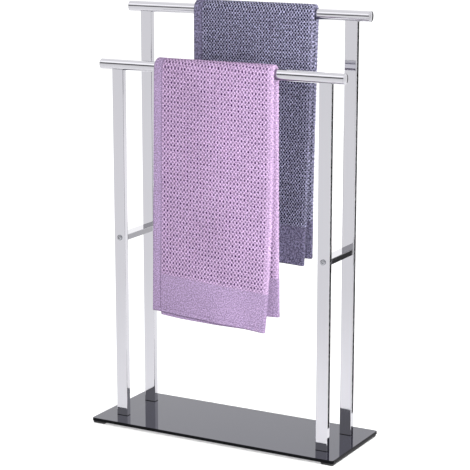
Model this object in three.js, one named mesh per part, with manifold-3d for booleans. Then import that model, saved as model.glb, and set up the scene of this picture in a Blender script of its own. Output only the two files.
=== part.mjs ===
// Free-standing towel stand: two chromed tube frames on a glass base, with a towel on each rail.
// Units are millimetres. +Z is up, -Y is the front, +X is the right as seen from the front.
// The origin is on the floor under the middle of the base.

import * as THREE from "three";
import { mergeVertices } from "three/addons/utils/BufferGeometryUtils.js";
import Module from "manifold-3d";

// ---------------------------------------------------------------- driving dimensions

const seat = 0.05; // gap between faces that rest on each other
const fit = 0.3; // clearance between a piece and the bore, tube or saddle that holds it

const base = { width: 530, depth: 200, thick: 6, corner: 5, arris: 0.8 };
const foot = { width: 23, height: 5, sideInset: 3, endInset: 2, round: 3 };

const postTube = { width: 24, depth: 12, wall: 1.2, corner: 1.2 };
const postInset = 45; // from the side edge of the glass to the centre of an upright
const rowSpacing = 105; // between the centres of the front and rear uprights

const rail = { diameter: 20, wall: 1.2, overhang: 27 }; // overhang is past the upright's side
const railHeight = { front: 710, rear: 813 }; // of the rail's axis above the floor
const railCap = { rim: 1.2, dome: 1.3, spigot: 12 };

const brace = { width: 24, height: 11, wall: 1.2, corner: 1.2, axisHeight: 373 };

const thread = { diameter: 6 };
const buttonHead = { diameter: 11, height: 3, socket: 4, socketDepth: 1.8 };
const boltHead = { diameter: 12, height: 2.8, socket: 4, socketDepth: 1.8 };

const postPlug = { height: 20 };
const bracePlug = { length: 18 };
const gasket = { thick: 1 };
const bush = { flange: 18, flangeThick: 1.2, sleeveWall: 0.9 };

const cloth = { flatWidth: 500, flatLength: 990, ply: 4 };
const towels = {
  front: { centre: -9, longerInFront: 14 },
  rear: { centre: 20, longerInFront: 0 },
};

const cornerSteps = 3; // straight pieces in a tube's rounded corner
const plateCornerSteps = 8; // straight pieces in a rounded corner of the glass
const arrisSteps = 3; // straight pieces in the rounded edge of the glass
const roundSteps = 20; // sides of a screw, bush or hole
const railSteps = 32; // sides of a rail

// ---------------------------------------------------------------- sizes that follow

const postSpacing = { x: base.width - 2 * postInset, y: rowSpacing };
const glassBottom = foot.height + seat;
const glassTop = glassBottom + base.thick;
const gasketBottom = glassTop + seat;
const postBottom = gasketBottom + gasket.thick + seat;
const railRadius = rail.diameter / 2;
const railLength = postSpacing.x + postTube.width + 2 * rail.overhang;
const railTubeLength = railLength - 2 * (railCap.rim + railCap.dome + seat);
const threadRadius = thread.diameter / 2;
const clearRadius = threadRadius + fit;
const sleeveRadius = clearRadius + bush.sleeveWall;
const glassHoleRadius = sleeveRadius + fit;
const braceLength = postSpacing.y - postTube.depth - 2 * seat;
const bothSides = [["left", -1], ["right", 1]];
const bothRows = [["front", -1], ["rear", 1]];

// ---------------------------------------------------------------- materials

function finish(color, roughness, metalness) {
  return new THREE.MeshStandardMaterial({ color, roughness, metalness });
}

const materials = {
  chrome: () => finish(0xd6d6da, 0.06, 1),
  zinc: () => finish(0xb4b6b8, 0.35, 1),
  glass: () => finish(0x121014, 0.04, 0),
  rubber: () => finish(0x161616, 0.8, 0),
  nylon: () => finish(0x1d1d1f, 0.55, 0),
  lilac: () => finish(0xc4a6ce, 0.95, 0),
  slate: () => finish(0x7d7d9b, 0.95, 0),
};

// ---------------------------------------------------------------- solids and cuts

const wasm = await Module();
wasm.setup();

function toSolid(geometry) {
  const bare = geometry.clone();
  bare.deleteAttribute("normal");
  bare.deleteAttribute("uv");
  const merged = mergeVertices(bare, 1e-4);
  const vertProperties = new Float32Array(merged.attributes.position.array);
  const triVerts = new Uint32Array(merged.index.array);
  return new wasm.Manifold(new wasm.Mesh({ numProp: 3, vertProperties, triVerts }));
}

function toGeometry(solid) {
  const mesh = solid.getMesh();
  const geometry = new THREE.BufferGeometry();
  geometry.setAttribute("position", new THREE.BufferAttribute(mesh.vertProperties, 3));
  geometry.setIndex(new THREE.BufferAttribute(mesh.triVerts, 1));
  geometry.computeVertexNormals();
  return geometry;
}

function cut(geometry, tools) {
  let solid = toSolid(geometry);
  for (const tool of tools) {
    solid = solid.subtract(toSolid(tool));
  }
  return toGeometry(solid);
}

// A rectangle with rounded corners, centred on the origin.
function roundedRectangle(width, height, radius) {
  const shape = new THREE.Shape();
  const [x, y] = [width / 2 - radius, height / 2 - radius];
  shape.absarc(x, y, radius, 0, Math.PI / 2);
  shape.absarc(-x, y, radius, Math.PI / 2, Math.PI);
  shape.absarc(-x, -y, radius, Math.PI, 1.5 * Math.PI);
  shape.absarc(x, -y, radius, 1.5 * Math.PI, 2 * Math.PI);
  return shape;
}

function tubeSection(width, height, corner, wall) {
  const section = roundedRectangle(width, height, corner);
  const bore = roundedRectangle(width - 2 * wall, height - 2 * wall, corner / 2);
  section.holes.push(bore);
  return section;
}

function roundHole(radius) {
  const points = [];
  for (let i = 0; i < roundSteps; i++) {
    const angle = (i / roundSteps) * 2 * Math.PI;
    points.push(new THREE.Vector2(radius * Math.cos(angle), radius * Math.sin(angle)));
  }
  return new THREE.Path(points);
}

// Straight extrusion of a section, starting at z = 0.
function extrude(section, depth, curveSegments = cornerSteps) {
  return new THREE.ExtrudeGeometry(section, { depth, curveSegments, bevelEnabled: false });
}

// A plain cylinder whose axis runs along x, y or z through the origin.
function rod(axis, radius, length, steps = roundSteps) {
  const cylinder = new THREE.CylinderGeometry(radius, radius, length, steps);
  if (axis === "x") {
    cylinder.rotateZ(Math.PI / 2);
  }
  if (axis === "z") {
    cylinder.rotateX(Math.PI / 2);
  }
  return cylinder;
}

// Turns a profile of [radius, height] points round the z axis.
function turn(profile, steps = roundSteps) {
  const points = profile.map(([radius, height]) => new THREE.Vector2(radius, height));
  return new THREE.LatheGeometry(points, steps).rotateX(Math.PI / 2);
}

// Points of a shallow dome, from its edge to its crown on the axis.
function dome(radius, bottom, rise, steps = 3) {
  const points = [];
  for (let i = 0; i < steps; i++) {
    const angle = (i / steps) * (Math.PI / 2);
    points.push([radius * Math.cos(angle), bottom + rise * Math.sin(angle)]);
  }
  points.push([0, bottom + rise]);
  return points;
}

// ---------------------------------------------------------------- base

function basePlate() {
  const outline = roundedRectangle(
    base.width - 2 * base.arris,
    base.depth - 2 * base.arris,
    base.corner - base.arris,
  );
  const plate = new THREE.ExtrudeGeometry(outline, {
    depth: base.thick - 2 * base.arris,
    bevelSize: base.arris,
    bevelThickness: base.arris,
    bevelSegments: arrisSteps,
    curveSegments: plateCornerSteps,
  }).translate(0, 0, base.arris);
  const holes = [];
  for (const [, sideX] of bothSides) {
    for (const [, sideY] of bothRows) {
      const [x, y] = [sideX * postSpacing.x / 2, sideY * postSpacing.y / 2];
      holes.push(rod("z", glassHoleRadius, 3 * base.thick).translate(x, y, 0));
    }
  }
  return cut(plate, holes);
}

// Side profile with its two lower corners rounded, extruded across the strip's width.
function footStrip() {
  const half = base.depth / 2 - foot.endInset;
  const profile = new THREE.Shape();
  profile.moveTo(half, foot.height);
  profile.lineTo(-half, foot.height);
  profile.absarc(-half + foot.round, foot.round, foot.round, Math.PI, 1.5 * Math.PI);
  profile.absarc(half - foot.round, foot.round, foot.round, 1.5 * Math.PI, 2 * Math.PI);
  const strip = extrude(profile, foot.width, 5).translate(0, 0, -foot.width / 2);
  return strip.rotateX(Math.PI / 2).rotateZ(Math.PI / 2);
}

function postGasket() {
  const section = roundedRectangle(postTube.width, postTube.depth, postTube.corner);
  section.holes.push(roundHole(clearRadius));
  return extrude(section, gasket.thick);
}

// Flange under the glass with a sleeve that lines the hole.
function glassBush() {
  const top = bush.flangeThick + base.thick - seat;
  return turn([
    [clearRadius, 0],
    [bush.flange / 2, 0],
    [bush.flange / 2, bush.flangeThick],
    [sleeveRadius, bush.flangeThick],
    [sleeveRadius, top],
    [clearRadius, top],
    [clearRadius, 0],
  ]);
}

// ---------------------------------------------------------------- screws and plugs

// A screw that points along +z, its head below z = 0, with a hexagon socket in the head.
function socketScrew(head, shankLength, domed) {
  const rim = domed ? head.height * 0.35 : head.height;
  const crown = dome(head.diameter / 2, rim, head.height - rim);
  const headPoints = domed ? crown.reverse() : [[0, rim], [head.diameter / 2, rim]];
  const profile = headPoints.map(([radius, height]) => [radius, -height]);
  profile.push([head.diameter / 2, 0], [threadRadius, 0]);
  profile.push([threadRadius, shankLength - 1], [threadRadius - 1, shankLength], [0, shankLength]);
  const socket = rod("z", head.socket / Math.sqrt(3), 2 * head.socketDepth, 6);
  return cut(turn(profile), [socket.translate(0, 0, -head.height)]);
}

// A block that fills a tube's end, with a bore for the screw along its length.
function tubePlug(tubeWidth, tubeHeight, wall, length) {
  const section = roundedRectangle(
    tubeWidth - 2 * wall - 2 * fit,
    tubeHeight - 2 * wall - 2 * fit,
    wall / 2,
  );
  section.holes.push(roundHole(clearRadius));
  return extrude(section, length);
}

// ---------------------------------------------------------------- frames

// Rectangular tube, coped on top to the rail and drilled front to back for the brace screw.
function post(axisHeight) {
  const section = tubeSection(postTube.width, postTube.depth, postTube.corner, postTube.wall);
  const length = axisHeight - postBottom;
  const saddle = rod("x", railRadius + fit, 2 * postTube.width, railSteps);
  const screwHole = rod("y", clearRadius, 2 * postTube.depth);
  return cut(extrude(section, length), [
    saddle.translate(0, 0, length),
    screwHole.translate(0, 0, brace.axisHeight - postBottom),
  ]);
}

function railTube() {
  const [outer, inner, half] = [railRadius, railRadius - rail.wall, railTubeLength / 2];
  const profile = [[inner, -half], [outer, -half], [outer, half], [inner, half], [inner, -half]];
  return turn(profile, railSteps).rotateY(Math.PI / 2);
}

// Domed disc of the rail's diameter with a spigot that enters the tube along -z.
function capForRail() {
  const spigotRadius = railRadius - rail.wall - fit;
  return turn([
    [0, -railCap.spigot],
    [spigotRadius - 1, -railCap.spigot],
    [spigotRadius, 1 - railCap.spigot],
    [spigotRadius, 0],
    [railRadius, 0],
    ...dome(railRadius, railCap.rim, railCap.dome),
  ], railSteps);
}

// ---------------------------------------------------------------- braces

function sideBrace() {
  const section = tubeSection(brace.width, brace.height, brace.corner, brace.wall);
  return extrude(section, braceLength).translate(0, 0, -braceLength / 2).rotateX(Math.PI / 2);
}

// ---------------------------------------------------------------- towels

// Folded lengthwise to two plies and hung over a rail: an upturned U, extruded along the rail.
function drapedTowel(longerInFront) {
  const thick = 2 * cloth.ply;
  const inner = railRadius + fit;
  const outer = inner + thick;
  const hanging = cloth.flatLength - Math.PI * (inner + thick / 2);
  const frontLeg = (hanging + longerInFront) / 2;
  const backLeg = (hanging - longerInFront) / 2;
  const profile = new THREE.Shape();
  profile.moveTo(outer, -backLeg);
  profile.absarc(0, 0, outer, 0, Math.PI);
  profile.lineTo(-outer, -frontLeg);
  profile.lineTo(-inner, -frontLeg);
  profile.absarc(0, 0, inner, Math.PI, 0, true);
  profile.lineTo(inner, -backLeg);
  const width = cloth.flatWidth / 2;
  const towel = extrude(profile, width, railSteps / 4).translate(0, 0, -width / 2);
  return towel.rotateX(Math.PI / 2).rotateZ(Math.PI / 2);
}

// ---------------------------------------------------------------- assembly

const stand = new THREE.Group();

function place(parent, name, geometry, material, x = 0, y = 0, z = 0) {
  const piece = new THREE.Mesh(geometry, material());
  piece.name = name;
  piece.position.set(x, y, z);
  parent.add(piece);
  return piece;
}

place(stand, "base_plate", basePlate(), materials.glass, 0, 0, glassBottom);

for (const [side, sideX] of bothSides) {
  const footX = sideX * (base.width / 2 - foot.sideInset - foot.width / 2);
  place(stand, `foot_strip_${side}`, footStrip(), materials.rubber, footX);
  place(
    stand, `side_brace_${side}`, sideBrace(), materials.chrome,
    sideX * postSpacing.x / 2, 0, brace.axisHeight,
  );
}

for (const [row, sideY] of bothRows) {
  const rowY = sideY * postSpacing.y / 2;
  place(stand, `${row}_rail`, railTube(), materials.chrome, 0, rowY, railHeight[row]);

  for (const [side, sideX] of bothSides) {
    const corner = new THREE.Group();
    corner.position.set(sideX * postSpacing.x / 2, rowY, 0);
    stand.add(corner);
    const here = `${row}_${side}`;

    // upright and what fastens it to the glass
    place(corner, `post_${here}`, post(railHeight[row]), materials.chrome, 0, 0, postBottom);
    place(corner, `post_gasket_${here}`, postGasket(), materials.rubber, 0, 0, gasketBottom);
    const plug = tubePlug(postTube.width, postTube.depth, postTube.wall, postPlug.height);
    place(corner, `post_plug_${here}`, plug, materials.zinc, 0, 0, postBottom);
    const bushBottom = glassBottom - seat - bush.flangeThick;
    place(corner, `glass_bush_${here}`, glassBush(), materials.nylon, 0, 0, bushBottom);
    const boltSeat = bushBottom - seat;
    const boltReach = postBottom + 0.8 * postPlug.height - boltSeat;
    const bolt = socketScrew(boltHead, boltReach, false);
    place(corner, `base_bolt_${here}`, bolt, materials.zinc, 0, 0, boltSeat);

    // brace screw and plug, both pointing from the upright's outer face to the middle
    const inward = new THREE.Group();
    inward.position.z = brace.axisHeight;
    inward.rotation.x = sideY * Math.PI / 2;
    corner.add(inward);
    const braceEnd = postTube.depth / 2 + seat;
    const screwSeat = postTube.depth / 2 + seat;
    const screwReach = screwSeat + braceEnd + 0.8 * bracePlug.length;
    const screw = socketScrew(buttonHead, screwReach, true);
    place(inward, `brace_screw_${here}`, screw, materials.chrome, 0, 0, -screwSeat);
    const endPlug = tubePlug(brace.width, brace.height, brace.wall, bracePlug.length);
    place(inward, `brace_plug_${here}`, endPlug, materials.zinc, 0, 0, braceEnd);

    // cap in the rail's end, its dome outwards
    const railEnd = new THREE.Group();
    railEnd.position.set(sideX * (railTubeLength / 2 + seat), rowY, railHeight[row]);
    railEnd.rotation.y = sideX * Math.PI / 2;
    stand.add(railEnd);
    place(railEnd, `rail_cap_${here}`, capForRail(), materials.chrome);
  }

  const towel = towels[row];
  const color = row === "front" ? materials.lilac : materials.slate;
  place(
    stand, `${row}_towel`, drapedTowel(towel.longerInFront), color,
    towel.centre, rowY, railHeight[row],
  );
}

export default stand;
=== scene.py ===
"""Free-standing towel stand: two chromed tube frames on a black glass base, with a waffle towel on each rail.

Every piece is built in metres in the frame's own space: +Z is up, -Y is the front and +X is the right as seen
from the front. Sizes and places come from the frame, and the rest from the settings below.
"""

import math

import bmesh
import bpy
import numpy as np
from bpy.props import FloatProperty, FloatVectorProperty, IntProperty, PointerProperty
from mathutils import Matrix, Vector


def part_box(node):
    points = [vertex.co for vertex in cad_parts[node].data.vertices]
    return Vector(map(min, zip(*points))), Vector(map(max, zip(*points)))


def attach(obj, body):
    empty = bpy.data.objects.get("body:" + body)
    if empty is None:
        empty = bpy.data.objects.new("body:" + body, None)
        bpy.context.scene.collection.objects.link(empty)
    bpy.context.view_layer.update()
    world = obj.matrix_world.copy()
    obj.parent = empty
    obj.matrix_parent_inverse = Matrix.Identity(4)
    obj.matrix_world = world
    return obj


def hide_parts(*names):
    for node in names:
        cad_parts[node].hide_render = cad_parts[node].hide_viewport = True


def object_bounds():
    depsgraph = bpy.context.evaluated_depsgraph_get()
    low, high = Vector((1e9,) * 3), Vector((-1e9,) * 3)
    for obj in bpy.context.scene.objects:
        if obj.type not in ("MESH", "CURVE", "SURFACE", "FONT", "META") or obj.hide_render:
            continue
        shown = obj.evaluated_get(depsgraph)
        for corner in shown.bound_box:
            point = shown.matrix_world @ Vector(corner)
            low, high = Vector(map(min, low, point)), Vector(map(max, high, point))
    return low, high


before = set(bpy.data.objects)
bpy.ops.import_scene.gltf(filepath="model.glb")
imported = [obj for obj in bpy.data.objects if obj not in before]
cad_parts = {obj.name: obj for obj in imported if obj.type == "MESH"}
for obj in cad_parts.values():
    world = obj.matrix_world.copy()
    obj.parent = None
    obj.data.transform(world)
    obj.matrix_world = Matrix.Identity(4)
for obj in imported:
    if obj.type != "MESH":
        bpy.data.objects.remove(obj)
CAD_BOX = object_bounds()

bl_info = {
    "name": "Towel Stand",
    "version": (1, 0, 0),
    "blender": (4, 5, 0),
    "location": "View3D > Sidebar > Towel Stand",
    "description": "Builds the chrome, glass and terry pieces of a two-rail towel stand",
    "category": "Object",
}

MM = 0.001
SIDES = ("left", "right")
ROWS = ("front", "rear")
CORNERS = [f"{row}_{side}" for row in ROWS for side in SIDES]
SHARP = math.radians(32)
CAMERA_PLACE = Vector((1.537, -2.779, 1.079))
CAMERA_TILT, CAMERA_HEADING = math.radians(90 - 12.24), math.radians(28.88)


# ------------------------ settings


def length(name, description, default):
    """A length in metres that a user may change."""
    return FloatProperty(
        name=name, description=description, default=default, unit="LENGTH", precision=4
    )


def share(name, description, default):
    """A number from 0 to 1 that a user may change."""
    return FloatProperty(
        name=name, description=description, default=default, min=0.0, max=1.0, subtype="FACTOR"
    )


def color(name, description, *default):
    """A linear colour that a user may change."""
    return FloatVectorProperty(
        name=name, description=description, default=default, min=0.0, max=1.0, size=3, subtype="COLOR"
    )


def power(name, description, default):
    """A lamp's power in watts that a user may change."""
    return FloatProperty(name=name, description=description, default=default, unit="POWER")


class MetalSettings(bpy.types.PropertyGroup):
    """Tubes, caps and screws."""

    tube_wall: length("Tube wall", "Wall of the uprights, rails and braces", 1.2 * MM)
    tube_corner: length("Tube corner", "Outer corner radius of the rectangular tubes", 1.2 * MM)
    weld_gap: length("Weld gap", "Gap between an upright's saddle and the rail", 0.3 * MM)
    cap_rim: length("Cap rim", "Straight part of a rail cap before its dome", 1.2 * MM)
    spigot_gap: length("Spigot gap", "Gap between a cap's spigot and the bore of the rail", 0.3 * MM)
    head_height: length("Screw head height", "Height of a brace screw's button head", 3.0 * MM)
    shank_radius: length("Screw shank radius", "Radius of a brace screw's shank", 3.0 * MM)
    socket_width: length("Socket width", "Across the flats of the hexagon socket", 4.0 * MM)
    socket_depth: length("Socket depth", "Depth of the hexagon socket", 1.8 * MM)
    chrome_color: color("Chrome", "Colour of the chrome plating", 0.52, 0.515, 0.55)
    zinc_color: color("Zinc", "Colour of the zinc-plated hardware", 0.33, 0.335, 0.36)


class BaseSettings(bpy.types.PropertyGroup):
    """Glass base and the black pieces round it."""

    glass_color: color("Glass", "Body colour of the black glass", 0.006, 0.006, 0.014)
    edge_color: color("Glass edge", "Body colour of the glass's ground edge", 0.003, 0.003, 0.004)
    rubber_color: color("Rubber", "Colour of the foot strips and gaskets", 0.018, 0.018, 0.019)
    nylon_color: color("Nylon", "Colour of the bushes in the glass", 0.03, 0.03, 0.031)


class ClothSettings:
    """What both towels share."""

    cut_width: length("Cut width", "Width of the towel laid flat", 500 * MM)
    cut_length: length("Cut length", "Length of the towel laid flat", 990 * MM)
    ply: length("Ply", "Thickness of one layer of terry", 4.0 * MM)
    ply_gap: length("Gap between plies", "Air between the two folded layers", 0.4 * MM)
    rail_gap: length("Rail gap", "Air between the rail and the inner layer", 0.3 * MM)
    border: length("Border", "Plain edge beside the waffle, up to its seam", 15.5 * MM)
    band: length("Band", "Plain end of the towel, hem included", 74 * MM)
    hem: length("Hem", "Depth of the turned hem at each end", 9.5 * MM)
    fold_radius: length("Fold radius", "Outer radius of the lengthwise fold", 3.9 * MM)
    crease: length("Crease", "Depth of the packing creases at a quarter and three quarters", 1.3 * MM)
    relief: length("Waffle relief", "Depth of the waffle's deepest pits", 1.5 * MM)


def weave_settings(across, along, openness, clump, pull, ridge, pit, plain):
    """The settings in which the two towels differ, with their defaults."""
    return {
        "pitch_across": length("Pitch across", "Spacing of the waffle's columns", across),
        "pitch_along": length("Pitch along", "Spacing of the waffle's rows", along),
        "open": FloatProperty(name="Open", description="Width and depth of pits", default=openness, min=0.0),
        "clump": share("Clump", "How strongly the loops clump into lighter and darker spots", clump),
        # How much of the pits' painted shade and bump is left near the fold, where the side light falls.
        "pull": share("Pull", "How much of the pits is left where the fold pulls them flat", pull),
        "ridge_color": color("Ridge", "Colour of the yarn on the ridges", *ridge),
        # The pit colour is painted shade: the darkness that falls deep in the waffle's pits.
        "pit_color": color("Pit", "Colour deep in the pits", *pit),
        "plain_color": color("Plain", "Colour of the plain terry", *plain),
    }


class FrontTowelSettings(ClothSettings, bpy.types.PropertyGroup):
    """The towel on the front rail."""

    # Its pit colour is painted shade.
    __annotations__ = weave_settings(
        across=7.1 * MM, along=9.1 * MM, openness=1.0, clump=0.08, pull=0.25,
        ridge=(0.395, 0.28, 0.435), pit=(0.03, 0.006, 0.05), plain=(0.265, 0.195, 0.315),
    )


class RearTowelSettings(ClothSettings, bpy.types.PropertyGroup):
    """The towel on the rear rail."""

    # Its pit colour is painted shade.
    __annotations__ = weave_settings(
        across=6.0 * MM, along=7.4 * MM, openness=1.9, clump=0.42, pull=0.5,
        ridge=(0.24, 0.234, 0.335), pit=(0.006, 0.006, 0.02), plain=(0.122, 0.112, 0.178),
    )


class StageSettings(bpy.types.PropertyGroup):
    """Floor, light and camera."""

    floor_size: length("Floor size", "Side of the square floor", 80.0)
    floor_color: color("Floor", "Colour of the floor", 0.65, 0.65, 0.65)
    key_power: power("Key power", "Soft light at the front left", 5.0)
    side_power: power("Side power", "Soft light at the right", 6.5)
    back_power: power("Back power", "Light on the floor behind", 30.0)
    lens: FloatProperty(name="Lens", description="Focal length in millimetres", default=130.06)
    sensor: IntProperty(name="Sensor", description="Sensor width in millimetres", default=36)


class TowelStandSettings(bpy.types.PropertyGroup):
    """Everything a user may change."""

    metal: PointerProperty(type=MetalSettings)
    base: PointerProperty(type=BaseSettings)
    front_towel: PointerProperty(type=FrontTowelSettings)
    rear_towel: PointerProperty(type=RearTowelSettings)
    stage: PointerProperty(type=StageSettings)


def settings():
    """The scene's own settings of the towel stand."""
    return bpy.context.scene.towel_stand


# ------------------------ meshes


def grid_faces(rows, columns, closed_rows=False, closed_columns=False):
    """Quads of a grid of points numbered row by row; a closed direction joins its last line to its first."""
    i = np.arange(rows if closed_rows else rows - 1)
    j = np.arange(columns if closed_columns else columns - 1)
    i, j = (a.ravel() for a in np.meshgrid(i, j, indexing="ij"))
    i2, j2 = (i + 1) % rows, (j + 1) % columns
    return np.stack([i * columns + j, i * columns + j2, i2 * columns + j2, i2 * columns + j], axis=1)


def triangles_of(faces):
    """Each quad as two triangles."""
    if faces.shape[1] == 3:
        return faces
    return np.concatenate([faces[:, [0, 1, 2]], faces[:, [0, 2, 3]]])


def signed_volume(points, triangles):
    """A sixth of the sum of a . (b x c) over the triangles, which is negative when they face inwards."""
    a, b, c = (points[triangles[:, k]] for k in range(3))
    return np.einsum("ij,ij->", a, np.cross(b, c)) / 6


def new_object(name, data):
    """A new object of the scene."""
    thing = bpy.data.objects.new(name, data)
    bpy.context.scene.collection.objects.link(thing)
    return thing


def smooth_object(name, mesh, sharp=SHARP):
    """A new object whose mesh is shaded smooth up to the sharp angle."""
    mesh.update()
    mesh.shade_smooth()
    mesh.set_sharp_from_angle(angle=sharp)
    return new_object(name, mesh)


def make_piece(name, points, *face_sets, sharp=SHARP):
    """A closed piece from points and arrays of quads or triangles, turned to face outwards."""
    points = np.asarray(points, float).reshape(-1, 3)
    centred = points - points.mean(axis=0)
    volume = sum(signed_volume(centred, triangles_of(f)) for f in face_sets)
    if abs(volume) < 1e-12:
        raise RuntimeError(f"{name} encloses nothing")
    turned = [f[:, ::-1] if volume < 0 else f for f in face_sets]
    mesh = bpy.data.meshes.new(name)
    mesh.from_pydata(points.tolist(), [], [face for f in turned for face in f.tolist()])
    return smooth_object(name, mesh, sharp)


def even_normals(piece):
    """Weights the normals by face area, so that flats stay flat beside rounded corners."""
    modifier = piece.modifiers.new("flat_faces", "WEIGHTED_NORMAL")
    modifier.keep_sharp = True
    modifier.weight = 80


def rounded_rectangle(width, height, corner, corner_steps=8, side_steps=8):
    """Outline as (n, 2) points, anticlockwise: four quarter circles joined by sides cut into equal steps."""
    angle = np.linspace(0, math.pi / 2, corner_steps + 1)
    points = []
    for quarter, (sx, sy) in enumerate([(1, 1), (-1, 1), (-1, -1), (1, -1)]):
        centre = np.array([sx * (width / 2 - corner), sy * (height / 2 - corner)])
        turn = angle + quarter * math.pi / 2
        points.append(centre + corner * np.stack([np.cos(turn), np.sin(turn)], axis=1))
    cut = np.linspace(0, 1, side_steps + 1)[1:-1, None]
    outline = []
    for arc, following in zip(points, points[1:] + points[:1]):
        outline += [arc, arc[-1] + cut * (following[0] - arc[-1])]
    return np.concatenate(outline)


def square_tube(name, width, height, corner, start, end, place):
    """A rounded rectangle carried along a line and its bore carried back: four outlines joined in a ring.

    start and end give how far along the line each point of an outline is, and place turns (across, up, along)
    into a point of the frame.
    """
    wall = settings().metal.tube_wall
    outline = rounded_rectangle(width, height, corner)
    bore = rounded_rectangle(width - 2 * wall, height - 2 * wall, corner / 2)
    path = ((outline, start), (outline, end), (bore, end), (bore, start))
    rings = [np.column_stack([points, reach(points)]) for points, reach in path]
    faces = grid_faces(len(rings), len(outline), closed_rows=True, closed_columns=True)
    piece = make_piece(name, place(np.concatenate(rings)), faces)
    even_normals(piece)
    return piece


def hexagon(angle):
    """Radius of a hexagon with corners at 1: cos 30 over the cosine of the angle from its flat's middle."""
    sixth = math.pi / 3
    return math.cos(sixth / 2) / np.cos(np.mod(angle, sixth) - sixth / 2)


def turned_piece(name, profile, steps, place, hexagonal=None):
    """A profile of (radius, along) points turned round its axis: (r cos a, r sin a, along).

    A profile that starts and ends on the axis is closed by two poles, and any other closes on itself.
    hexagonal gives, for each profile point, how far its circle is drawn in to a hexagon.
    """
    profile = np.asarray(profile, float)
    angle = np.linspace(0, 2 * math.pi, steps, endpoint=False)
    drawn = np.zeros(len(profile)) if hexagonal is None else np.asarray(hexagonal, float)
    poles = profile[0, 0] == 0
    inner = slice(1, -1) if poles else slice(None)
    factor = 1 + drawn[inner, None] * (hexagon(angle) - 1)
    radius = profile[inner, 0, None] * factor
    along = np.broadcast_to(profile[inner, 1, None], radius.shape)
    points = np.stack([radius * np.cos(angle), radius * np.sin(angle), along], axis=-1).reshape(-1, 3)
    rings = len(radius)
    faces = [grid_faces(rings, steps, closed_rows=not poles, closed_columns=True)]
    if poles:
        first, last = len(points), len(points) + 1
        points = np.concatenate([points, [[0, 0, profile[0, 1]], [0, 0, profile[-1, 1]]]])
        j = np.arange(steps)
        following, top = (j + 1) % steps, (rings - 1) * steps
        faces.append(np.stack([np.full(steps, first), following, j], axis=1))
        faces.append(np.stack([np.full(steps, last), top + j, top + following], axis=1))
    return make_piece(name, place(points), *faces)


def along_x(origin, direction=1):
    """Turns (a, b, along) into a point with its axis on X from the origin, pointing right or left."""
    return lambda p: np.array(origin) + np.column_stack([direction * p[:, 2], p[:, 0], p[:, 1]])


def along_y(origin, direction=1):
    """Turns (a, b, along) into a point with its axis on Y from the origin, pointing back or forward."""
    return lambda p: np.array(origin) + np.column_stack([p[:, 0], direction * p[:, 2], p[:, 1]])


def joined_copy(node, name):
    """A copy of a CAD node's mesh with its loose triangles joined and its flats kept flat."""
    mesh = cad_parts[node].data.copy()
    mesh.name = name
    work = bmesh.new()
    work.from_mesh(mesh)
    bmesh.ops.remove_doubles(work, verts=work.verts, dist=1e-6)
    work.to_mesh(mesh)
    work.free()
    mesh.materials.clear()
    piece = smooth_object(name, mesh)
    even_normals(piece)
    return piece


def finish_piece(piece, body, slot, look, *nodes):
    """Gives a new piece its material, and lets it ride on its body in place of CAD nodes. The slot is not
    used.
    """
    piece.data.materials.append(material_of(look))
    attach(piece, body)
    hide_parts(*nodes)


def coat_node(node, look):
    """Gives a CAD node that stays a new material."""
    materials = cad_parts[node].data.materials
    materials.clear()
    materials.append(material_of(look))


def extent(node):
    """Lowest corner, highest corner and centre of a CAD node's box."""
    low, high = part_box(node)
    return low, high, (low + high) / 2


# ------------------------ node helpers


class Nodes:
    """Adds nodes to a tree. An input may be a number, a colour without alpha, or another node's socket."""

    def __init__(self, tree):
        self.tree = tree

    def plug(self, node, inputs):
        """Links or sets a node's inputs by their names or numbers."""
        for key, value in inputs.items():
            socket = node.inputs[key]
            if isinstance(value, bpy.types.NodeSocket):
                self.tree.links.new(value, socket)
            else:
                socket.default_value = (*value, 1.0) if socket.type == "RGBA" else value

    def add(self, kind, inputs=(), **values):
        node = self.tree.nodes.new(kind)
        for name, value in values.items():
            setattr(node, name, value)
        self.plug(node, dict(inputs))
        return node

    def math(self, operation, *values, clamp=False):
        inputs = dict(enumerate(values))
        return self.add("ShaderNodeMath", inputs, operation=operation, use_clamp=clamp).outputs[0]

    def times(self, a, b, clamp=False):
        return self.math("MULTIPLY", a, b, clamp=clamp)

    def minus(self, a, b):
        return self.math("SUBTRACT", a, b)

    def mix(self, factor, a, b, blend="MIX"):
        inputs = {0: factor, 6: a, 7: b}
        return self.add("ShaderNodeMix", inputs, data_type="RGBA", blend_type=blend).outputs[2]

    def noise(self, vector, scale, detail=2.0, roughness=0.5):
        inputs = {"Vector": vector, "Scale": scale, "Detail": detail, "Roughness": roughness}
        return self.add("ShaderNodeTexNoise", inputs).outputs["Fac"]

    def ramp(self, value, low, high, to_low=0.0, to_high=1.0, smooth=True):
        inputs = {"Value": value, "From Min": low, "From Max": high, "To Min": to_low, "To Max": to_high}
        kind = "SMOOTHSTEP" if smooth else "LINEAR"
        return self.add("ShaderNodeMapRange", inputs, interpolation_type=kind).outputs["Result"]

    def bump(self, height, strength, distance, **more):
        inputs = {"Height": height, "Strength": strength, "Distance": distance, **more}
        return self.add("ShaderNodeBump", inputs).outputs["Normal"]

    def axes(self, vector):
        return self.add("ShaderNodeSeparateXYZ", {0: vector}).outputs

    def object_place(self):
        return self.add("ShaderNodeTexCoord").outputs["Object"]


def new_group(name, inputs, outputs):
    """An empty shader group with its sockets; returns its tree helper, its inputs and its output node."""
    tree = bpy.data.node_groups.new(name, "ShaderNodeTree")
    for way, sockets in (("INPUT", inputs), ("OUTPUT", outputs)):
        for label, kind in sockets.items():
            tree.interface.new_socket(name=label, in_out=way, socket_type=kind)
    nodes = Nodes(tree)
    return nodes, nodes.add("NodeGroupInput").outputs, nodes.add("NodeGroupOutput")


def new_material(name):
    """A material with a Principled shader; returns it, its tree helper and the shader."""
    material = bpy.data.materials.new(name)
    material.use_nodes = True
    tree = material.node_tree
    return material, Nodes(tree), tree.nodes["Principled BSDF"]


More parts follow.
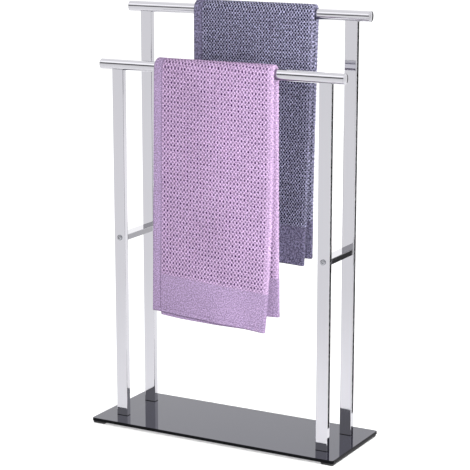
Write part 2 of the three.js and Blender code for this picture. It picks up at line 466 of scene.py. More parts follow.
def surface_material(name, build_group, inputs, look):
    """A material whose shader takes a shared group's outputs, each by its own name, and its look's values.

    The group has the name of the function that builds it, and its Height, if any, goes through a Bump node.
    """
    material, nodes, shader = new_material(name)
    group = bpy.data.node_groups.get(build_group.__name__) or build_group()
    outputs = dict(nodes.add("ShaderNodeGroup", inputs, node_tree=group).outputs.items())
    if "Height" in outputs:
        outputs["Normal"] = nodes.bump(outputs.pop("Height"), strength=0.9, distance=1.0)
    nodes.plug(shader, {**look, **outputs})
    return material


# ------------------------ shared effects

FLOAT, COLOR, VECTOR = "NodeSocketFloat", "NodeSocketColor", "NodeSocketVector"
WEAR = ("Roughness", "Smudge", "Wave", "Scratch")
# The terry's ridge and plain colours, and the painted shade deep in its pits.
CLOTH_COLORS = ("Ridge", "Pit", "Plain")
WEAVE = (
    "Cut Width", "Cut Length", "Border", "Band", "Hem",
    "Pitch Across", "Pitch Along", "Open", "Clump", "Pull",
)
# Where the waffle fades in, as distances past the border and past the band.
SIDE_FADE = (0.0, 3.0 * MM)
END_FADE = (-1.0 * MM, 4.0 * MM)


def polished_surface():
    """Polished surface: faint smudges that dull it, a slow waviness of plating or glass, and hairlines."""
    outputs = {"Roughness": FLOAT, "Normal": VECTOR}
    nodes, given, out = new_group("polished_surface", dict.fromkeys(WEAR, FLOAT), outputs)
    place = nodes.object_place()
    patch = nodes.ramp(nodes.noise(place, 14.0, 4.0, 0.6), 0.52, 0.72)
    speck = nodes.ramp(nodes.noise(place, 900.0, 1.0), 0.66, 0.74)
    dulled = nodes.times(nodes.math("ADD", patch, speck), given["Smudge"])
    stretch = nodes.add("ShaderNodeMapping", {"Vector": place, "Scale": (1.0, 1.0, 0.12)}).outputs[0]
    hairline = nodes.ramp(nodes.noise(stretch, 1400.0, 2.0), 0.6, 0.7)
    wavy = nodes.bump(nodes.noise(place, 22.0, 1.0), given["Wave"], 0.6 * MM)
    rough = nodes.math("ADD", given["Roughness"], dulled)
    scratched = nodes.bump(hairline, given["Scratch"], 0.04 * MM, Normal=wavy)
    nodes.plug(out, {"Roughness": rough, "Normal": scratched})
    return nodes.tree


def moulded_grain():
    """Moulded surface: a fine leathery grain, with dust that settles on faces that point up."""
    inputs = {"Color": COLOR, "Dust": COLOR, "Grain": FLOAT, "Depth": FLOAT}
    outputs = {"Base Color": COLOR, "Roughness": FLOAT, "Normal": VECTOR}
    nodes, given, out = new_group("moulded_grain", inputs, outputs)
    place = nodes.object_place()
    cells = nodes.add("ShaderNodeTexVoronoi", {"Vector": place, "Scale": given["Grain"]}).outputs["Distance"]
    upward = nodes.axes(nodes.add("ShaderNodeNewGeometry").outputs["Normal"])["Z"]
    dusty = nodes.times(nodes.ramp(upward, 0.5, 1.0), nodes.noise(place, 60.0, 3.0))
    shade = nodes.mix(nodes.times(dusty, 0.5), given["Color"], given["Dust"])
    rough = nodes.ramp(nodes.noise(place, 240.0), 0.3, 0.7, 0.55, 0.8)
    grain = nodes.bump(cells, given["Depth"], 0.2 * MM)
    nodes.plug(out, {"Base Color": shade, "Roughness": rough, "Normal": grain})
    return nodes.tree


def waffle_weave():
    """Waffle terry: pits where two cosines across and along the cloth peak together, weaker ones in between.

    The attribute "cloth" is the point on the towel laid flat, in metres. Outside the waffle's field the towel
    is plain terry. Dark lines are the seam beside the border, the hem's stitches and the hem's painted
    shadow.
    The pits are darkened with painted shade, which fades near the fold where the side light falls, and the
    tone is painted lighter from the left edge towards the fold, where the side light falls.
    """
    inputs = {**dict.fromkeys(CLOTH_COLORS, COLOR), **dict.fromkeys(WEAVE, FLOAT)}
    outputs = {"Base Color": COLOR, "Height": FLOAT, "Roughness": FLOAT}
    nodes, given, out = new_group("waffle_weave", inputs, outputs)
    cloth = nodes.add("ShaderNodeAttribute", attribute_name="cloth").outputs["Vector"]
    across, along, _ = nodes.axes(cloth)

    def from_edge(position, size):
        """Distance from the nearer of the two edges."""
        return nodes.math("MINIMUM", position, nodes.minus(size, position))

    def half_cosine(position, pitch):
        """(1 + cos(2 pi position / pitch)) / 2."""
        angle = nodes.times(nodes.math("DIVIDE", position, pitch), 2 * math.pi)
        return nodes.math("MULTIPLY_ADD", nodes.math("COSINE", angle), 0.5, 0.5)

    def groove(distance, width):
        """1 on the line where distance is 0, fading to 0 at the width."""
        return nodes.ramp(nodes.math("ABSOLUTE", distance), 0.0, width, 1.0, 0.0)

    side = from_edge(across, given["Cut Width"])
    end = from_edge(along, given["Cut Length"])
    past_border = nodes.minus(side, given["Border"])
    past_band = nodes.minus(end, given["Band"])
    column = half_cosine(nodes.minus(across, given["Border"]), given["Pitch Across"])
    line = half_cosine(nodes.minus(along, given["Band"]), given["Pitch Along"])
    deep = nodes.times(column, line)
    weak = nodes.times(nodes.minus(1.0, column), nodes.minus(1.0, line))
    field = nodes.times(nodes.ramp(past_border, *SIDE_FADE), nodes.ramp(past_band, *END_FADE))
    loops = nodes.noise(cloth, 420.0, 3.0, 0.7)
    mottle = nodes.noise(cloth, 9.0, 3.0, 0.6)
    uneven = nodes.noise(cloth, 120.0, 2.0)
    clump = nodes.noise(cloth, 250.0, 2.0)

    from_middle = nodes.math("MULTIPLY_ADD", given["Cut Width"], -0.5, across)
    from_fold = nodes.math("ABSOLUTE", from_middle)
    # Near the fold, where the side light falls, the pits' painted shade and their bump fade to the given
    # share.
    lit_fold_fade = nodes.ramp(from_fold, 3.0 * MM, 17.0 * MM, given["Pull"], 1.0)
    core = nodes.ramp(deep, 0.22, 0.64)
    half_core = nodes.times(nodes.ramp(weak, 0.36, 0.76), 0.75)
    pit = nodes.times(nodes.math("ADD", core, half_core), nodes.ramp(uneven, 0.3, 0.7, 0.7, 1.0))
    pit = nodes.times(nodes.times(pit, lit_fold_fade), given["Open"], clamp=True)
    # The pits are mixed towards painted shade, the shade that falls deep in them.
    shade = nodes.mix(field, given["Plain"], nodes.mix(pit, given["Ridge"], given["Pit"]))

    seam = nodes.times(groove(past_border, 1.2 * MM), nodes.ramp(end, 4.0 * MM, 12.0 * MM))
    stitch = nodes.times(groove(nodes.minus(end, given["Hem"]), 1.0 * MM), 0.5)
    outer = nodes.ramp(from_middle, -4.0 * MM, 0.0, 1.0, 0.0)
    hem_shadow = nodes.times(nodes.ramp(end, 0.8 * MM, 2.2 * MM, 1.0, 0.0), outer)
    lines = nodes.math("MAXIMUM", nodes.math("MAXIMUM", seam, stitch), hem_shadow)
    # The seam, the stitches and the painted shadow under the hem are darkened towards the same painted shade.
    shade = nodes.mix(nodes.times(lines, 0.55), shade, given["Pit"])

    tone_and_light = nodes.times(nodes.ramp(loops, 0.3, 0.7, 0.5, 1.55), nodes.ramp(mottle, 0.25, 0.75, 0.92, 1.07))
    # Painted light: darker at the left edge and lighter towards the fold, where the side light falls.
    tone_and_light = nodes.times(tone_and_light, nodes.ramp(across, 0.0, 240 * MM, 0.92, 1.05, smooth=False))
    spots = nodes.math("MULTIPLY_ADD", nodes.ramp(clump, 0.38, 0.62, -1.0, 1.0), given["Clump"], 1.0)
    tone_and_light = nodes.times(tone_and_light, spots)
    gray = nodes.add("ShaderNodeCombineColor", {0: tone_and_light, 1: tone_and_light, 2: tone_and_light}).outputs[0]

    dip = nodes.times(nodes.times(pit, field), -1.1 * MM)
    dip = nodes.math("MULTIPLY_ADD", lines, -0.6 * MM, dip)
    height = nodes.math("ADD", nodes.times(loops, 0.9 * MM), dip)
    rough = nodes.ramp(loops, 0.2, 0.8, 0.8, 1.0)
    shade = nodes.mix(1.0, shade, gray, "MULTIPLY")
    nodes.plug(out, {"Base Color": shade, "Height": height, "Roughness": rough})
    return nodes.tree


# ------------------------ materials


def material_of(look):
    """The material that the function makes under its own name, made the first time it is asked for."""
    return bpy.data.materials.get(look.__name__) or look(look.__name__)


def polished(name, look, **wear):
    """A hard, polished surface with its roughness and the strengths of its smudges, waves and scratches."""
    inputs = {key.capitalize(): value for key, value in wear.items()}
    return surface_material(name, polished_surface, inputs, look)


def chrome_plating(name):
    """Bright chrome plating, slightly wavy as it is on thin tube."""
    look = {"Base Color": settings().metal.chrome_color, "Metallic": 1.0}
    return polished(name, look, roughness=0.035, smudge=0.03, wave=0.06, scratch=0.05)


def zinc_plating(name):
    """Zinc-plated steel, satin and a little uneven."""
    look = {"Base Color": settings().metal.zinc_color, "Metallic": 1.0}
    return polished(name, look, roughness=0.14, smudge=0.1, wave=0.1, scratch=0.4)


def polished_glass(name):
    """Black float glass with a clear, faintly blue surface: it has almost no colour of its own."""
    look = {"Base Color": settings().base.glass_color, "IOR": 1.6, "Specular Tint": (0.75, 0.75, 1.0)}
    return polished(name, look, roughness=0.015, smudge=0.02, wave=0.01, scratch=0.02)


def ground_glass_edge(name):
    """Ground edge of the glass, blackened by the paint behind it, so that it hardly reflects."""
    look = {"Base Color": settings().base.edge_color, "IOR": 1.12}
    return polished(name, look, roughness=0.12, smudge=0.05, wave=0.02, scratch=0.1)


def moulded(name, body, grain, depth):
    """A moulded surface with grey dust: grain is its cells in a metre, and depth how strongly they show."""
    inputs = {"Color": body, "Dust": (0.2, 0.2, 0.2), "Grain": grain, "Depth": depth}
    return surface_material(name, moulded_grain, inputs, {})


def grained_rubber(name):
    """Black rubber, with the coarser grain."""
    return moulded(name, settings().base.rubber_color, grain=900.0, depth=0.5)


def grained_nylon(name):
    """Black nylon, with the finer grain."""
    return moulded(name, settings().base.nylon_color, grain=1500.0, depth=0.25)


def waffle_terry(name, cloth):
    """Cotton terry in a waffle weave, with a soft sheen on the loops."""
    # The pit colour among these is painted shade.
    inputs = {yarn: getattr(cloth, f"{yarn.lower()}_color") for yarn in CLOTH_COLORS}
    inputs.update((label, getattr(cloth, label.lower().replace(" ", "_"))) for label in WEAVE)
    sheen = {"Sheen Weight": 0.015, "Sheen Roughness": 0.5, "Sheen Tint": (0.95, 0.93, 1.0)}
    return surface_material(name, waffle_weave, inputs, {"Specular IOR Level": 0.06, **sheen})


def lilac_waffle(name):
    """The front towel's terry."""
    return waffle_terry(name, settings().front_towel)


def slate_waffle(name):
    """The rear towel's terry."""
    return waffle_terry(name, settings().rear_towel)


# ------------------------ frames


def make_post(corner):
    """An upright: a rounded rectangle carried up to a saddle, where z = rail - sqrt(saddle^2 - y^2)."""
    metal = settings().metal
    low, high, centre = extent(f"post_{corner}")
    _, rail_top, rail = extent(f"{corner.split('_')[0]}_rail")
    saddle = rail_top.z - rail.z + metal.weld_gap
    piece = square_tube(
        f"upright_{corner}", high.x - low.x, high.y - low.y, metal.tube_corner,
        lambda outline: np.full(len(outline), low.z),
        lambda outline: rail.z - np.sqrt(saddle**2 - outline[:, 1] ** 2),
        lambda p: np.array((centre.x, centre.y, 0)) + p,
    )
    finish_piece(piece, "stand", "chrome_frame", chrome_plating, f"post_{corner}")


def make_rail(row):
    """A rail: the wall of a round tube, with its edges broken, turned round the X axis."""
    _, high, centre = extent(f"{row}_rail")
    radius, half = high.z - centre.z, high.x - centre.x
    bore, edge = radius - settings().metal.tube_wall, 0.15 * MM
    outside = [(radius - edge, -half), (radius, edge - half), (radius, half - edge), (radius - edge, half)]
    piece = turned_piece(f"rail_tube_{row}", [*outside, (bore, half), (bore, -half)], 96, along_x(centre))
    even_normals(piece)
    finish_piece(piece, "stand", "chrome_frame", chrome_plating, f"{row}_rail")


def make_cap(corner):
    """A rail cap: spigot, rim and a flattened dome, r = R cos a and z = rim + rise sin a."""
    metal = settings().metal
    row, side = corner.split("_")
    rail_left, rail_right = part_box(f"{row}_rail")
    left, right, centre = extent(f"rail_cap_{corner}")
    sign = 1 if side == "right" else -1
    seat, tip, inner_end = (rail_right.x, right.x, left.x) if sign > 0 else (rail_left.x, left.x, right.x)
    spigot, reach = sign * (seat - inner_end), sign * (tip - seat)
    radius = right.z - centre.z
    rim, bore = metal.cap_rim, radius - metal.tube_wall - metal.spigot_gap
    gap, edge, lead = 0.05 * MM, 0.2 * MM, 1.0 * MM
    turn = np.radians(np.linspace(0, 90, 15))
    crown = np.column_stack([radius * np.cos(turn), rim + (reach - rim) * np.sin(turn)])
    crown[-1, 0] = 0
    stem = [(0, -spigot), (bore - lead, -spigot), (bore, lead - spigot), (bore, gap)]
    rim_edge = [(radius - edge, gap), (radius, gap + edge)]
    profile = np.concatenate([stem, rim_edge, crown])
    piece = turned_piece(f"rail_end_{corner}", profile, 64, along_x((seat, centre.y, centre.z), sign))
    finish_piece(piece, "stand", "chrome_frame", chrome_plating, f"rail_cap_{corner}")


def make_brace(side):
    """A side brace: a rounded rectangle carried from the front upright to the rear one."""
    low, high, centre = extent(f"side_brace_{side}")
    half = high.y - centre.y
    piece = square_tube(
        f"brace_tube_{side}", high.x - low.x, high.z - low.z, settings().metal.tube_corner / 2,
        lambda outline: np.full(len(outline), -half),
        lambda outline: np.full(len(outline), half),
        along_y(centre),
    )
    finish_piece(piece, "stand", "chrome_frame", chrome_plating, f"side_brace_{side}")


def make_screw(corner):
    """A brace screw: a hexagon socket in a dome, r = R cos a and z = rim + rise sin a, on a plain shank."""
    metal = settings().metal
    low, high, centre = extent(f"brace_screw_{corner}")
    radius, head, shank = high.z - centre.z, metal.head_height, metal.shank_radius
    inward = 1 if corner.startswith("front") else -1
    outer = low.y if inward > 0 else high.y
    reach = high.y - low.y - head
    socket = metal.socket_width / math.sqrt(3)
    rim = 0.35 * head
    turn = np.linspace(math.acos((socket + 0.4 * MM) / radius), 0, 12)
    dome = np.column_stack([radius * np.cos(turn), -rim - (head - rim) * np.sin(turn)])
    lip, floor = dome[0, 1], metal.socket_depth - head
    profile = np.concatenate([
        [(0, floor + 0.4 * MM), (socket * 0.97, floor), (socket, floor - 0.1 * MM), (socket, lip + 0.1 * MM)],
        dome,
        [(radius, 0), (shank, 0), (shank, reach - shank / 3), (shank * 2 / 3, reach), (0, reach)],
    ])
    drawn = np.zeros(len(profile))
    socket_wall = slice(1, 4)
    drawn[socket_wall] = 1.0
    seat = (centre.x, outer + inward * head, centre.z)
    piece = turned_piece(f"button_screw_{corner}", profile, 60, along_y(seat, inward), drawn)
    finish_piece(piece, "stand", "zinc_hardware", zinc_plating, f"brace_screw_{corner}")


def make_plate():
    """The glass plate, with its ground look on every face that turns away from the vertical."""
    plate = joined_copy("base_plate", "glass_base")
    finish_piece(plate, "stand", "black_glass", polished_glass, "base_plate")
    plate.data.materials.append(material_of(ground_glass_edge))
    polygons, level = plate.data.polygons, 0.97
    facing = np.empty(3 * len(polygons))
    polygons.foreach_get("normal", facing)
    polygons.foreach_set("material_index", (np.abs(facing[2::3]) < level).astype(np.int32))


# ------------------------ towels


HEM_ROUND = 2.2 * MM


def smooth(t):
    """3 t^2 - 2 t^3 between 0 and 1."""
    t = np.clip(t, 0, 1)
    return t * t * (3 - 2 * t)


def fade(t, low, high):
    """0 below low and 1 above high, smooth between them."""
    return smooth((t - low) / (high - low))


def bell(distance, width):
    """exp(-(distance / width)^2)."""
    return np.exp(-((distance / width) ** 2))


def waffle_depth(across, along, cloth):
    """Depth of the waffle, from 0 on a ridge to 1 in a deep pit, by the formula of the waffle material."""
    column = (1 + np.cos(2 * math.pi * (across - cloth.border) / cloth.pitch_across)) / 2
    line = (1 + np.cos(2 * math.pi * (along - cloth.band) / cloth.pitch_along)) / 2
    side = np.minimum(across, cloth.cut_width - across)
    end = np.minimum(along, cloth.cut_length - along)
    field = fade(side - cloth.border, *SIDE_FADE) * fade(end - cloth.band, *END_FADE)
    return field * (column * line + 0.5 * (1 - column) * (1 - line))


def rows_of(cloth):
    """Distances from the front hem: close at the hems, a quarter pitch on the waffle, coarse between them."""
    hem, band = cloth.hem, cloth.band
    edge = np.array([0, 0.15 * MM, 0.6 * MM, 1.3 * MM, HEM_ROUND])
    turned = np.array([hem * 0.5, hem - 1.0 * MM, hem, hem + 1.0 * MM])
    plain = np.linspace(hem + 4 * MM, band - 2 * MM, 8)
    start = np.concatenate([edge, turned, plain])
    waffles = round((cloth.cut_length - 2 * band) / cloth.pitch_along)
    woven = np.linspace(band, cloth.cut_length - band, 4 * waffles + 1)
    return np.concatenate([start, woven, cloth.cut_length - start[::-1]])


class Ring:
    """Cross-section of a towel folded lengthwise, as arrays over its points.

    way runs from 0 at the left edge to 1 at the fold's centre. A point lies at its mid plus its out, both
    (sideways, up) from there; out is shortened at the hems to round them off. across is the place on the flat
    cloth, and ply is 0 on the outer layer and 1 on the inner. order is 0 at the outer layer's edge, 1 at the
    fold and 2 at the inner layer's edge. outside is 1 on the faces that show and 0 between the layers.
    """

    def __init__(self):
        self.parts = []

    def add(self, way, mid, out, across, ply, order, outside):
        count = max(np.size(v) for v in (way, *mid, *out, across))
        values = (way, *mid, *out, across, ply, order, outside)
        self.parts.append(np.stack([np.broadcast_to(np.asarray(v, float), count) for v in values]))

    def close(self):
        names = ("way", "mid_x", "mid_h", "out_x", "out_h", "across", "ply", "order", "outside")
        for name, values in zip(names, np.concatenate(self.parts, axis=1)):
            setattr(self, name, values)
        return self


def fold_ring(cloth):
    """The closed outline of both layers: along the outer one's face, round the fold, back along the inner."""
    ply, radius = cloth.ply, cloth.fold_radius
    total = 2 * ply + cloth.ply_gap
    width = cloth.cut_width / 2
    span = width - radius
    pressed = 12 * MM

    border = np.array([0, 3, 8, 12, 14.3]) * MM
    columns = int((span - cloth.border) / cloth.pitch_across)
    woven = cloth.border + np.arange(4 * columns + 1) * cloth.pitch_across / 4
    rest = woven[-1] + np.arange(1, 4) * cloth.pitch_across / 4
    fine = np.concatenate([border, woven, rest[rest < span - 0.5 * MM], [span]]) / span
    coarse = 1 - (1 - np.linspace(0, 1, 9)) ** 0.8

    def near_fold(s):
        return bell((1 - s) * span, pressed)

    def thick(s):
        return ply + (radius - cloth.ply_gap / 2 - ply) * near_fold(s)

    def top(s):
        return total - (total / 2 - radius) * near_fold(s)

    def bottom(s):
        return (total / 2 - radius) * near_fold(s)

    def arc(first, last, count):
        angle = np.radians(np.linspace(first, last, count + 2)[1:-1])
        return np.cos(angle), np.sin(angle)

    ring = Ring()
    s = fine
    ring.add(s, (0, top(s) - thick(s) / 2), (0, thick(s) / 2), s * span, 0, s, 1)
    c, h = arc(90, -90, 7)
    turn = np.linspace(0, 1, 9)[1:-1]
    ring.add(1, (c * radius / 2, total / 2 + h * radius / 2), (c * radius / 2, h * radius / 2),
             span + turn * 2 * radius, turn, 1 + turn * 0.05, 1)
    s = coarse[::-1]
    ring.add(s, (0, bottom(s) + thick(s) / 2), (0, -thick(s) / 2), cloth.cut_width - s * span, 1, 2.05 - s, 1)
    c, h = arc(270, 90, 3)
    ring.add(0, (0, ply / 2), (c * ply / 2, h * ply / 2), cloth.cut_width, 1, 2.051 + np.arange(3) * 1e-4, 0)
    s = coarse
    ring.add(s, (0, bottom(s) + thick(s) / 2), (0, thick(s) / 2), cloth.cut_width - s * span, 1, 2.05 - s, 0)
    ring.add(1, (radius / 2, total / 2), (cloth.ply_gap / 2 - radius / 2, 0), width, 0.5, 1.025, 0)
    s = coarse[::-1]
    ring.add(s, (0, top(s) - thick(s) / 2), (0, -thick(s) / 2), s * span, 0, s, 0)
    c, h = arc(270, 90, 3)
    ring.add(0, (0, total - ply / 2), (c * ply / 2, h * ply / 2), 0, 0, -1e-4 * np.arange(1, 4), 0)
    return ring.close()


def hem_cap(ring, first, flip):
    """Triangles that close a hem: each edge of the outline joins the point across from it."""
    count = len(ring.order)
    index = np.arange(count)
    outside = index[ring.outside > 0]
    inside = index[ring.outside == 0][::-1]
    outer_mid = (ring.order[outside][1:] + ring.order[outside][:-1]) / 2
    inner_mid = (ring.order[inside][1:] + ring.order[inside][:-1]) / 2
    across_outer = inside[np.searchsorted(inner_mid, outer_mid, side="left")]
    across_inner = outside[np.searchsorted(outer_mid, inner_mid, side="right")]
    outer = np.stack([outside[1:], outside[:-1], across_outer], axis=1)
    inner = np.stack([inside[:-1], inside[1:], across_inner], axis=1)
    faces = first + np.concatenate([outer, inner])
    return faces[:, ::-1] if flip else faces


# How each towel hangs, in millimetres: x of the edges, and how far the hem is below the rail's axis.
HANG = {
    "front": {
        "front_left": (-131, -140, 1.0), "front_right": (122, 106, 3.0),
        "rear_left": (-131, -128, 1.0), "rear_right": (117, 118, 1.0),
        "hem_left": 470, "hem_right": 484, "inner_longer": 8.0, "inner_inset": (4, 16),
        "wave": 1.6, "flare": 3.0, "phase": 0.4,
    },
    "rear": {
        "front_left": (-105, -106, 1.0), "front_right": (150, 135, 1.6),
        "rear_left": (-105, -102, 1.0), "rear_right": (146, 136, 0.7),
        "hem_left": 472, "hem_right": 476, "inner_longer": -2.0, "inner_inset": (3, 8),
        "wave": 1.4, "flare": 2.0, "phase": 2.1,
    },
}


def towel_points(row, cloth, ring, along):
    """Points of a draped towel: the folded cross-section carried over the rail and down both sides.

    v is how far round the rail a point is, from its top: y = r sin(v / n), z = r cos(v / n) on the rail and
    straight down past a quarter turn, with n the radius of the cloth's middle. The edges run down as
    top + (bottom - top) f^p, with f from 0 at the rail to 1 at the hem. A slow wave grows towards the hem.
    """
    hang = HANG[row]
    _, high, centre = extent(f"{row}_rail")
    base = high.z - centre.z + cloth.rail_gap
    total = 2 * cloth.ply + cloth.ply_gap
    neutral = base + total / 2
    quarter = neutral * math.pi / 2

    m = along[:, None]
    way = ring.way[None, :]
    inner = ring.ply[None, :]
    front_drop = (hang["hem_left"] + (hang["hem_right"] - hang["hem_left"]) * way) * MM
    front_drop = front_drop + inner * hang["inner_longer"] * MM * smooth(1.1 - way)
    v = m - (front_drop + quarter)
    back_drop = cloth.cut_length - 2 * quarter - front_drop

    fall = np.maximum(np.abs(v) - quarter, 0)
    f = np.clip(fall / np.where(v < 0, front_drop, back_drop), 0, 1)
    behind = smooth((v + quarter) / (2 * quarter))

    def edge(name):
        top, bottom, power = hang[name]
        return (top + (bottom - top) * f**power) * MM

    left = edge("front_left") * (1 - behind) + edge("rear_left") * behind
    right = edge("front_right") * (1 - behind) + edge("rear_right") * behind
    inset_top, inset_hem = hang["inner_inset"]
    left = left + inner * (inset_top + (inset_hem - inset_top) * f) * MM * (1 - way)

    end = np.minimum(m, cloth.cut_length - m)
    rounding = np.sqrt(1 - (1 - np.clip(end / HEM_ROUND, 0.02, 1)) ** 2)
    in_hem = smooth((cloth.hem - end) / (1.0 * MM) + 0.5)
    groove = bell(end - cloth.hem, 0.8 * MM)
    out = rounding * (1 + 0.1 * in_hem - 0.12 * groove)
    seam = bell(ring.across[None, :] - cloth.border, 0.9 * MM) * (end > cloth.hem)
    size = np.hypot(ring.out_x, ring.out_h)[None, :]
    dip = cloth.relief * waffle_depth(ring.across[None, :], m, cloth) + 0.5 * MM * seam
    out = out - (ring.outside * (ring.way > 0) * (ring.ply < 1))[None, :] * dip / size

    x = left + cloth.ply / 2 + way * (right - cloth.fold_radius - left - cloth.ply / 2)
    x = x + ring.mid_x[None, :] + out * ring.out_x[None, :]
    h = ring.mid_h[None, :] + out * ring.out_h[None, :]

    crease = sum(bell(m - part * cloth.cut_length, 7 * MM) for part in (0.25, 0.75))
    h = h - cloth.crease * crease * smooth(f * 6) * (0.6 + 0.4 * np.sin(x / (23 * MM) + hang["phase"]))

    phase = hang["phase"] + 3.0 * behind
    wave = hang["wave"] * MM * np.sin(x / (34 * MM) + phase + 1.5 * f) * smooth(f * 1.3)
    wave = wave + 0.5 * hang["wave"] * MM * np.sin(x / (15 * MM) + 2 * phase) * f**2
    flare = hang["flare"] * MM * way**5 * f**3
    radius = base + h + wave + flare
    turn = np.clip(v / neutral, -math.pi / 2, math.pi / 2)
    y = centre.y + radius * np.sin(turn)
    z = centre.z + radius * np.cos(turn) - fall
    return np.stack(np.broadcast_arrays(x, y, z), axis=-1)


def make_towel(row):
    """A towel: the ring carried along its rows and closed at both hems, its flat place in an attribute."""
    cloth = getattr(settings(), f"{row}_towel")
    ring, along = fold_ring(cloth), rows_of(cloth)
    points = towel_points(row, cloth, ring, along)
    rows, columns = points.shape[:2]
    caps = hem_cap(ring, 0, False), hem_cap(ring, (rows - 1) * columns, True)
    faces = grid_faces(rows, columns, closed_columns=True)
    piece = make_piece(f"terry_towel_{row}", points, faces, *caps, sharp=math.pi)
    flat = np.stack(np.broadcast_arrays(ring.across[None, :], along[:, None], 0.0), axis=-1)
    attribute = piece.data.attributes.new("cloth", "FLOAT_VECTOR", "POINT")
    attribute.data.foreach_set("vector", flat.astype(np.float32).ravel())
    slot, look = {"front": ("lilac_terry", lilac_waffle), "rear": ("slate_terry", slate_waffle)}[row]
    finish_piece(piece, f"{row}_towel", slot, look, f"{row}_towel")


# ------------------------ stage


def stage_sheet(name, corners, paint, brightness):
    """A flat, matt sheet with its colour and its own light, given by its four corners."""
    mesh = bpy.data.meshes.new(name)
    mesh.from_pydata(corners, [], [(0, 1, 2, 3)])
    material, nodes, shader = new_material(f"{name}_paint")
    nodes.plug(shader, {
        "Base Color": paint, "Roughness": 1.0, "Specular IOR Level": 0.0,
        "Emission Color": (1, 1, 1), "Emission Strength": brightness,
    })
    mesh.materials.append(material)
    sheet = new_object(name, mesh)
    return sheet


def make_floor():
    """A large plain floor."""
    stage = settings().stage
    half = stage.floor_size / 2
    corners = level_corners((-half, half), (-half, half), 0)
    stage_sheet("floor", corners, stage.floor_color, brightness=0.4)


def make_world():
    """A soft studio: bright overhead and behind, greyer low down in front."""
    world = bpy.data.worlds.new("studio")
    world.use_nodes = True
    nodes = Nodes(world.node_tree)
    direction = nodes.axes(nodes.add("ShaderNodeTexCoord").outputs["Generated"])
    up, back = direction["Z"], direction["Y"]
    behind = nodes.ramp(up, 0.3, 0.8, to_low=1.35, to_high=1.3)
    ahead = nodes.ramp(up, 0.3, 0.85, to_low=0.8, to_high=1.25)
    behind = nodes.times(behind, nodes.ramp(back, -0.3, 0.3))
    ahead = nodes.times(ahead, nodes.ramp(back, -0.3, 0.3, to_low=1.0, to_high=0.0))
    light = nodes.math("ADD", behind, ahead)
    nodes.plug(world.node_tree.nodes["Background"], {"Strength": light, "Color": (1, 1, 1)})
    bpy.context.scene.world = world


def soft_light(name, watts, size, place, target, spread=180):
    """A square area light that points at a target, its rays within the spread in degrees."""
    light = bpy.data.lights.new(name, "AREA")
    light.energy, light.size, light.spread = watts, size, math.radians(spread)
    lamp = new_object(name, light)
    lamp.location = place
    lamp.visible_camera = False
    lamp.visible_glossy = False
    lamp.rotation_euler = (Vector(target) - Vector(place)).to_track_quat("-Z", "Y").to_euler()


def make_camera():
    """The camera, front right and a little above the rails."""
    stage = settings().stage
    camera = new_object("camera", bpy.data.cameras.new("camera"))
    camera.data.lens, camera.data.sensor_width = stage.lens, stage.sensor
    camera.data.clip_end = 2 * stage.floor_size
    camera.location = CAMERA_PLACE
    camera.rotation_euler = (CAMERA_TILT, 0, CAMERA_HEADING)
    bpy.context.scene.camera = camera


def level_corners(x, y, z):
    """Corners of a level rectangle between two x and two y, anticlockwise from above."""
    return [(x[0], y[0], z), (x[1], y[0], z), (x[1], y[1], z), (x[0], y[1], z)]


def upright_corners(x, y, z):
    """Corners of an upright rectangle at one y, between two x and two z."""
    return [(x[0], y, z[0]), (x[1], y, z[0]), (x[1], y, z[1]), (x[0], y, z[1])]


def side_corners(x, y, z):
    """Corners of an upright rectangle at one x, between two y and two z."""
    return [(x, y[0], z[0]), (x, y[1], z[0]), (x, y[1], z[1]), (x, y[0], z[1])]


def card(name, corners, brightness=0.0):
    """A card that only reflections see: black, or as bright as given."""
    sheet = stage_sheet(name, corners, (0, 0, 0), brightness)
    for ray in ("camera", "diffuse", "transmission", "shadow"):
        setattr(sheet, f"visible_{ray}", False)


def make_cards():
    """Cards that the chrome reflects.

    One stands beside each right upright and each brace. The camera's ray, mirrored in a right face, meets the
    card's plane at y + gap * (y - camera y) / (camera x - face x), and at a z found in the same way. A dark
    one stands behind the frames and another hangs before the rails. A bright one stands between the frames
    and another hangs above the rails.
    """
    gap, top, bright = 70 * MM, CAD_BOX[1].z, 1.9
    for row in ROWS:
        low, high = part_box(f"post_{row}_right")
        depth = high.y - low.y
        slope = (low.y - CAMERA_PLACE.y) / (CAMERA_PLACE.x - high.x)
        near = low.y + slope * gap + 0.3 * depth
        corners = side_corners(high.x + gap, (near, near + 0.84 * depth), (0, top))
        corners[0] = (high.x + gap, near - 1.5 * MM, 0)
        card(f"dark_card_{row}", corners)
    for side, gap, brightness in (("left", 40 * MM, 0.75), ("right", 70 * MM, 0.06)):
        low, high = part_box(f"side_brace_{side}")
        reach = CAMERA_PLACE.x - high.x
        shift, drop = -gap * CAMERA_PLACE.y / reach, gap * (CAMERA_PLACE.z - high.z) / reach
        y = (low.y + shift - 3 * MM, high.y + shift)
        z = (low.z - drop - 20 * MM, high.z - drop + 25 * MM)
        card(f"card_brace_{side}", side_corners(high.x + gap, y, z), brightness)
    before = top - 22 * MM, top + 122 * MM
    card("dark_card_behind", upright_corners(x=(0.23, 0.47), y=0.6, z=(0.55, 0.95)))
    card("bright_card_between", upright_corners(x=(0.1, 0.19), y=0.02, z=(0.6, 0.76)), bright)
    card("dark_card_above", upright_corners(x=(-0.8, 0.2), y=-0.49, z=before))
    card("bright_card_above", level_corners(x=(-1.2, 0.3), y=(-0.8, -0.3), z=top + 0.52), bright)


# ------------------------ operators


class TOWELSTAND_OT_posts(bpy.types.Operator):
    """Make the four uprights"""

    bl_idname = "towel_stand.posts"
    bl_label = "Uprights"

    def execute(self, context):
        for corner in CORNERS:
            make_post(corner)
        return {"FINISHED"}


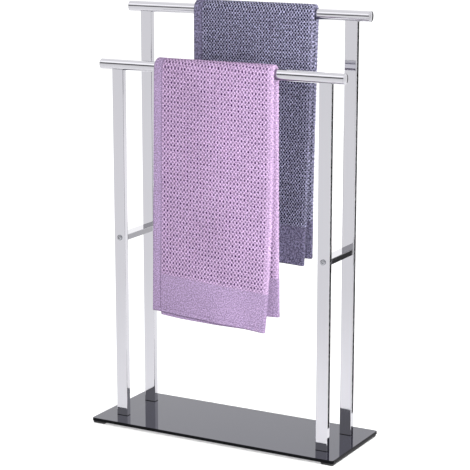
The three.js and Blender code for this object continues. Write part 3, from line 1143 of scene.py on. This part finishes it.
class TOWELSTAND_OT_rails(bpy.types.Operator):
    """Make the two rails and the caps in their ends"""

    bl_idname = "towel_stand.rails"
    bl_label = "Rails and caps"

    def execute(self, context):
        for row in ROWS:
            make_rail(row)
        for corner in CORNERS:
            make_cap(corner)
        return {"FINISHED"}


class TOWELSTAND_OT_braces(bpy.types.Operator):
    """Make the side braces and their screws"""

    bl_idname = "towel_stand.braces"
    bl_label = "Braces and screws"

    def execute(self, context):
        for side in SIDES:
            make_brace(side)
        for corner in CORNERS:
            make_screw(corner)
        return {"FINISHED"}


class TOWELSTAND_OT_base(bpy.types.Operator):
    """Make the glass base with its foot strips, and coat the hardware that holds it"""

    bl_idname = "towel_stand.base"
    bl_label = "Glass base"

    def execute(self, context):
        make_plate()
        for side in SIDES:
            strip = joined_copy(f"foot_strip_{side}", f"rubber_foot_{side}")
            finish_piece(strip, "stand", "black_rubber", grained_rubber, f"foot_strip_{side}")
        for corner in CORNERS:
            coat_node(f"post_gasket_{corner}", grained_rubber)
            coat_node(f"glass_bush_{corner}", grained_nylon)
            for part in ("base_bolt", "post_plug", "brace_plug"):
                coat_node(f"{part}_{corner}", zinc_plating)
        return {"FINISHED"}


class TOWELSTAND_OT_towels(bpy.types.Operator):
    """Make the lilac towel on the front rail and the slate one on the rear rail"""

    bl_idname = "towel_stand.towels"
    bl_label = "Towels"

    def execute(self, context):
        for row in ROWS:
            make_towel(row)
        return {"FINISHED"}


class TOWELSTAND_OT_stage(bpy.types.Operator):
    """Make the floor, the studio light and the camera"""

    bl_idname = "towel_stand.stage"
    bl_label = "Stage"

    def execute(self, context):
        stage = settings().stage
        make_floor()
        make_world()
        make_cards()
        soft_light("key_light", stage.key_power, size=2.5, place=(-1.2, -3.6, 2.8), target=(0, 0, 0.45))
        soft_light("side_light", stage.side_power, 0.6, (1.0, -0.9, 0.85), (0, 0, 0.5), spread=90)
        soft_light("back_light", stage.back_power, 2.0, (1.0, 2.2, 2.2), (0.9, 1.6, 0))
        make_camera()
        context.scene.view_settings.view_transform = "Standard"
        return {"FINISHED"}


class TOWELSTAND_PT_panel(bpy.types.Panel):
    """Buttons that build the towel stand"""

    bl_idname = "TOWELSTAND_PT_panel"
    bl_label = "Towel Stand"
    bl_space_type = "VIEW_3D"
    bl_region_type = "UI"
    bl_category = "Towel Stand"

    def draw(self, context):
        for operator in OPERATORS:
            self.layout.operator(operator.bl_idname)
        for group in ("metal", "base", "front_towel", "rear_towel", "stage"):
            box = self.layout.box()
            box.label(text=group.replace("_", " ").capitalize())
            values = getattr(context.scene.towel_stand, group)
            for name in values.bl_rna.properties.keys():
                if name not in ("rna_type", "name"):
                    box.prop(values, name)


OPERATORS = (
    TOWELSTAND_OT_posts,
    TOWELSTAND_OT_rails,
    TOWELSTAND_OT_braces,
    TOWELSTAND_OT_base,
    TOWELSTAND_OT_towels,
    TOWELSTAND_OT_stage,
)
SETTINGS = (
    MetalSettings, BaseSettings, FrontTowelSettings, RearTowelSettings, StageSettings, TowelStandSettings,
)
CLASSES = (*SETTINGS, *OPERATORS, TOWELSTAND_PT_panel)


def register():
    for cls in CLASSES:
        bpy.utils.register_class(cls)
    bpy.types.Scene.towel_stand = PointerProperty(type=TowelStandSettings)


def unregister():
    del bpy.types.Scene.towel_stand
    for cls in reversed(CLASSES):
        bpy.utils.unregister_class(cls)


def main():
    register()
    bpy.ops.towel_stand.posts()
    bpy.ops.towel_stand.rails()
    bpy.ops.towel_stand.braces()
    bpy.ops.towel_stand.base()
    bpy.ops.towel_stand.towels()
    bpy.ops.towel_stand.stage()


if __name__ == "__main__":
    main()
